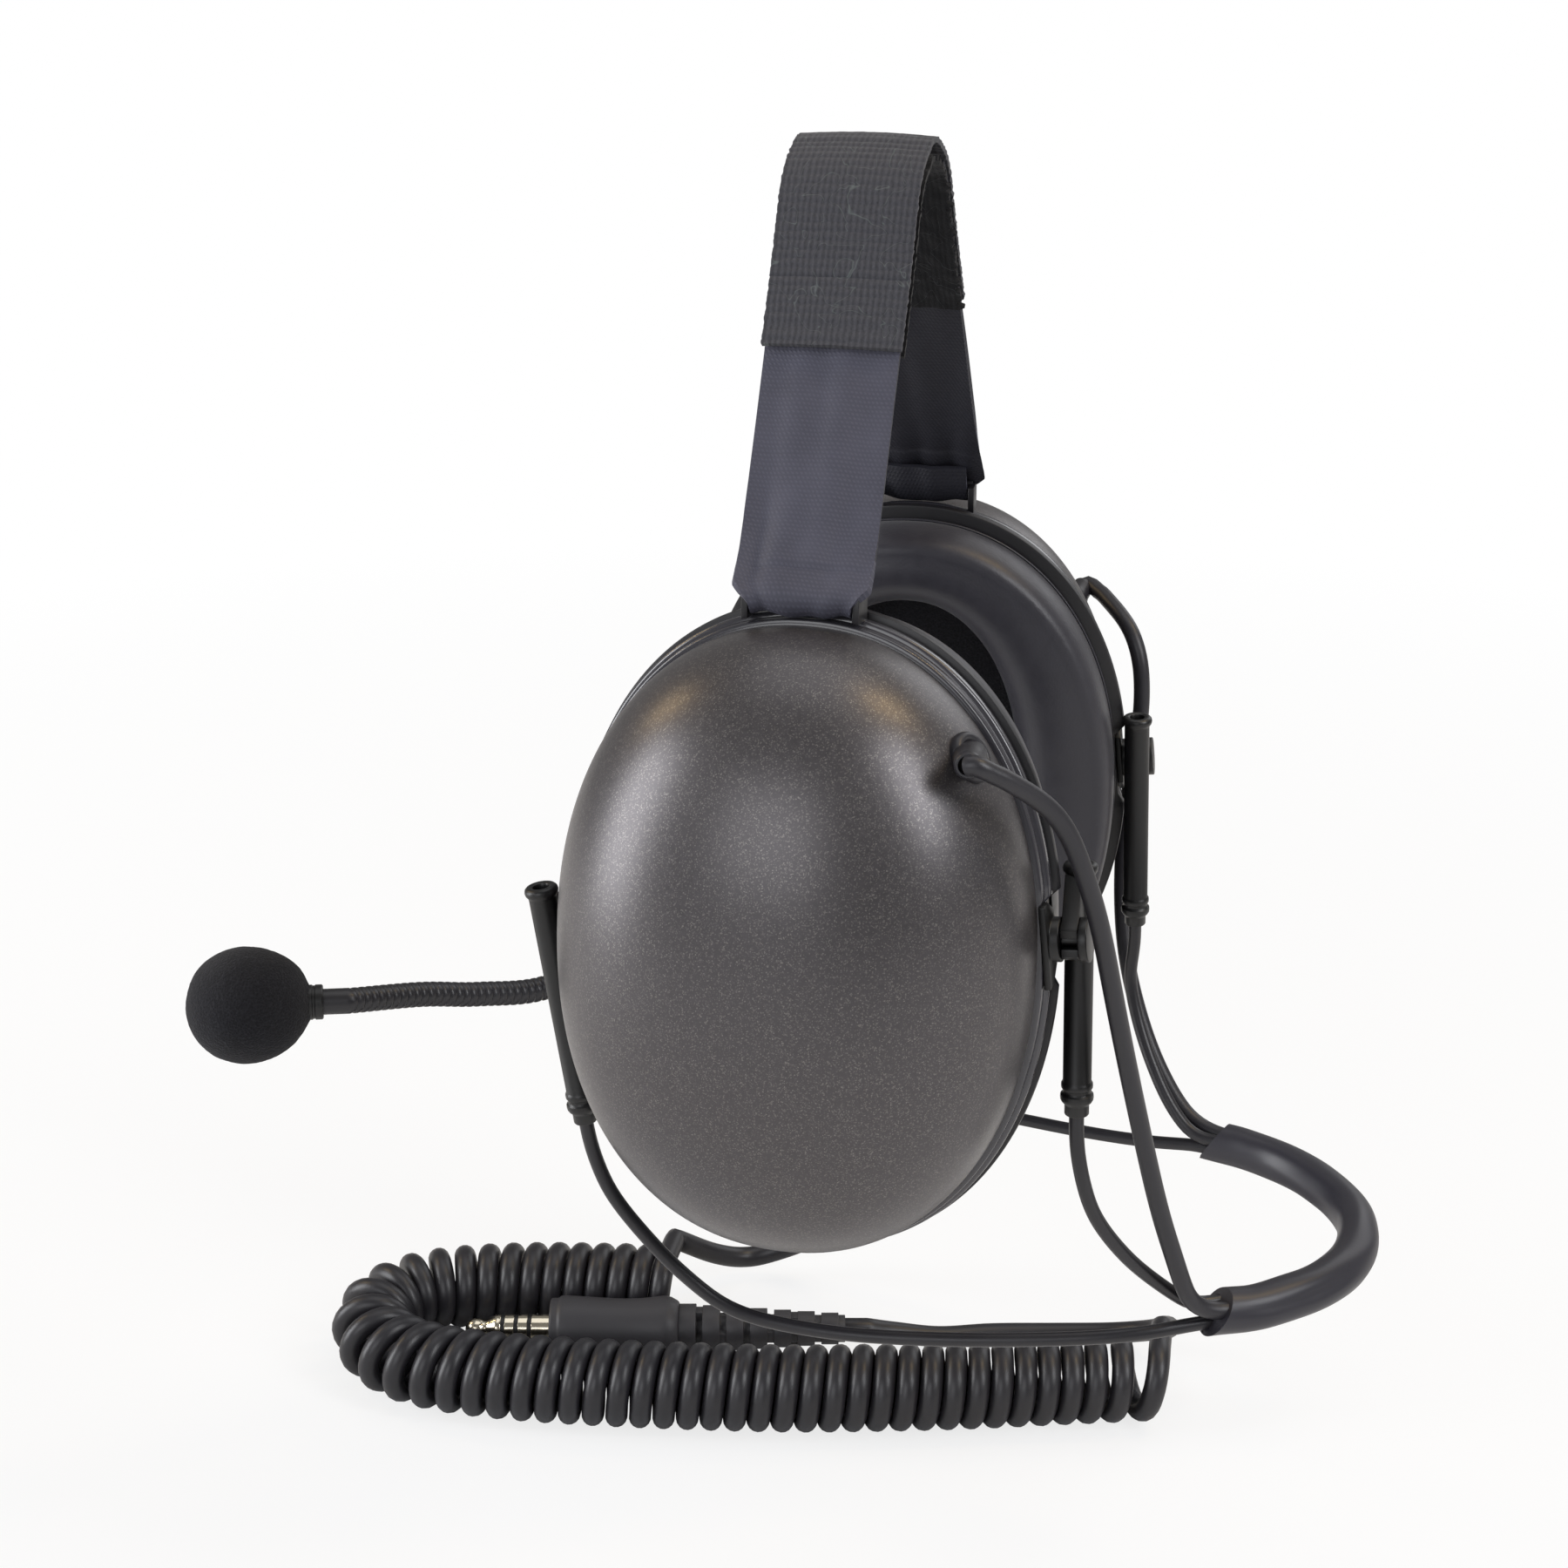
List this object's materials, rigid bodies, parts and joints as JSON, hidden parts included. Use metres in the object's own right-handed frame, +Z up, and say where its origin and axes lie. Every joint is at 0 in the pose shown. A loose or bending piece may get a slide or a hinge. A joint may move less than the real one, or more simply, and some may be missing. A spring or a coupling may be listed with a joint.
{
  "type": "communication headset",
  "caption": "Behind-the-neck headset with sealed oval ear cups, a wire neckband, an over-head strap, a gooseneck microphone and a curly cord with a jack plug.",
  "frame": {"origin": "middle of the wearer's head, midway between the ear cups", "axes": "+X to the back of the head, where the neckband is; +Y to the wearer's right ear; +Z up, towards the head strap"},
  "size_m": [0.2554, 0.2163, 0.3135],
  "materials": {
    "shell_paint": "glossy dark grey-brown moulded shell",
    "rim_plastic": "satin black moulding",
    "black_plastic": "fine satin black moulding",
    "cushion_cover": "soft black leatherette",
    "open_foam": "open-cell black foam",
    "grey_foam": "open-cell grey foam",
    "wire_coat": "black plastic-dipped spring wire",
    "webbing": "black woven webbing",
    "cable_jacket": "matte black cable jacket",
    "cord_jacket": "satin black cord jacket",
    "contact_metal": "polished gold-coloured plating",
    "insulator": "black insulating rings",
    "screw_steel": "zinc-plated steel",
    "capsule_metal": "satin metal can"
  },
  "bodies": {
    "right_cup": {"right_shell": "shell_paint", "right_seal_ring": "rim_plastic", "right_cushion_plate": "black_plastic", "right_cushion": "cushion_cover", "right_foam_liner": "open_foam", "right_baffle": "black_plastic", "right_speaker": "capsule_metal", "right_absorber": "grey_foam", "right_baffle_screws": "screw_steel", "right_grommet": "cable_jacket", "right_front_bracket": "black_plastic", "right_rear_bracket": "black_plastic", "right_strap_anchor": "black_plastic", "boom_base": "black_plastic", "boom_screw": "screw_steel", "cord_gland": "cord_jacket", "cord_lead": "cord_jacket", "cord_curls": "cord_jacket", "cord_tail": "cord_jacket", "plug_relief": "cord_jacket", "plug_body": "black_plastic", "plug_sleeve": "contact_metal", "plug_rings": "contact_metal", "plug_tip": "contact_metal", "plug_insulators": "insulator"},
    "right_carriage": {"right_front_barrel": "black_plastic", "right_rear_barrel": "black_plastic", "right_strap": "webbing", "right_cable": "cable_jacket"},
    "right_band": {"right_front_wire": "wire_coat", "right_rear_wire": "wire_coat", "neck_sleeve": "cable_jacket", "strap_outer_ply": "webbing", "strap_inner_ply": "webbing"},
    "left_band": {"left_front_wire": "wire_coat", "left_rear_wire": "wire_coat"},
    "left_carriage": {"left_front_barrel": "black_plastic", "left_rear_barrel": "black_plastic", "left_strap": "webbing", "left_cable": "cable_jacket"},
    "left_cup": {"left_shell": "shell_paint", "left_seal_ring": "rim_plastic", "left_cushion_plate": "black_plastic", "left_cushion": "cushion_cover", "left_foam_liner": "open_foam", "left_baffle": "black_plastic", "left_speaker": "capsule_metal", "left_absorber": "grey_foam", "left_baffle_screws": "screw_steel", "left_grommet": "cable_jacket", "left_front_bracket": "black_plastic", "left_rear_bracket": "black_plastic", "left_strap_anchor": "black_plastic"},
    "boom": {"boom_hub": "black_plastic", "gooseneck": "wire_coat"},
    "mic_head": {"mic_collar": "black_plastic", "mic_capsule": "capsule_metal", "windscreen": "open_foam"}
  },
  "joints": [
    {"name": "right_tilt", "type": "hinge", "parent": "right_cup", "child": "right_carriage", "pos_m": [-0.00067, 0.05143, -0.0012], "axis": [-0.9923, -0.0607, -0.108], "range_deg": [-10, 10], "deforming": ["right_strap", "right_cable"]},
    {"name": "right_height", "type": "slide", "parent": "right_carriage", "child": "right_band", "axis": [0.0897, 0.0186, -0.9958], "range_m": [-0.004, 0.004]},
    {"name": "band_flex", "type": "hinge", "parent": "right_band", "child": "left_band", "pos_m": [0.1004, 0, -0.0755], "axis": [0, 0, 1], "range_deg": [0, 12], "stiffness_Nm_per_rad": 1.2, "deforming": ["neck_sleeve", "strap_outer_ply", "strap_inner_ply"]},
    {"name": "left_height", "type": "slide", "parent": "left_band", "child": "left_carriage", "axis": [-0.0897, 0.0186, 0.9958], "range_m": [-0.004, 0.004]},
    {"name": "left_tilt", "type": "hinge", "parent": "left_carriage", "child": "left_cup", "pos_m": [-0.00067, -0.05143, 0.0028], "axis": [-0.9923, 0.0607, -0.108], "range_deg": [-10, 10], "deforming": ["left_strap", "left_cable"]},
    {"name": "boom_swing", "type": "hinge", "parent": "right_cup", "child": "boom", "pos_m": [-0.03346, 0.08693, -0.03153], "axis": [-0.0608, 0.9937, 0.0941], "range_deg": [-30, 90]},
    {"name": "mic_bend", "type": "hinge", "parent": "boom", "child": "mic_head", "pos_m": [-0.1145, 0.02, -0.054], "axis": [0, 0, 1], "range_deg": [-20, 20], "deforming": ["gooseneck"]}
  ]
}
